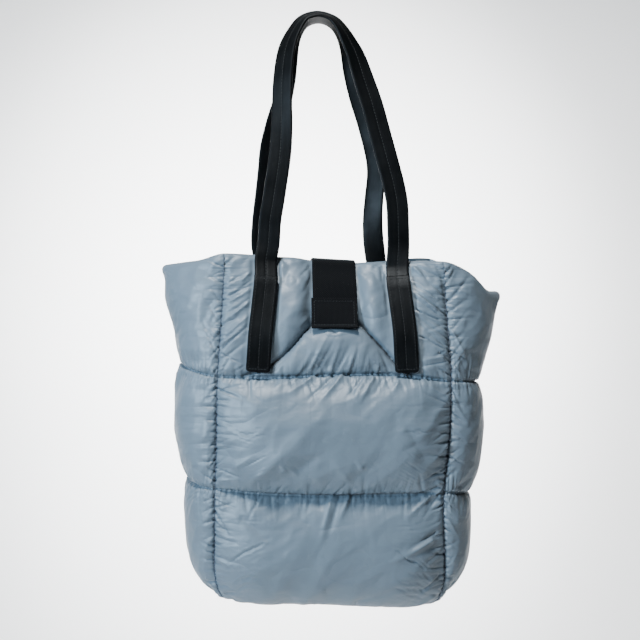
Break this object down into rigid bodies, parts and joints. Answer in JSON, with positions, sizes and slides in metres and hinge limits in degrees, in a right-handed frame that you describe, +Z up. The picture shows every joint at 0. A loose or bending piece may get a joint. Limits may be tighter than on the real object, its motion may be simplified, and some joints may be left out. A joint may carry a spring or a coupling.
{
  "type": "puffer tote bag",
  "caption": "Quilted padded tote bag hanging by leather shoulder straps, with folding side gussets, an open mouth, a webbing closure over it and a padded base.",
  "frame": {"origin": "the point that the bag hangs from, under both straps at the top of their arches", "axes": "+Z up, the front panel towards -Y, +X to the viewer's right when looking at the front"},
  "size_m": [0.3623, 0.1835, 0.6288],
  "materials": {
    "nylon": "pale grey-blue satin nylon over soft padding",
    "leather": "black smooth leather with a low sheen",
    "webbing": "black twill webbing, dull"
  },
  "bodies": {
    "root": {"front_panel": "nylon", "right_gusset": "nylon", "back_panel": "nylon", "left_gusset": "nylon", "base_pad": "nylon", "front_strap": "leather", "back_strap": "leather", "front_left_strap_patch": "leather", "front_right_strap_patch": "leather", "back_left_strap_patch": "leather", "back_right_strap_patch": "leather", "front_closure_patch": "webbing", "back_closure_patch": "webbing", "closure_webbing": "webbing"}
  },
  "joints": []
}
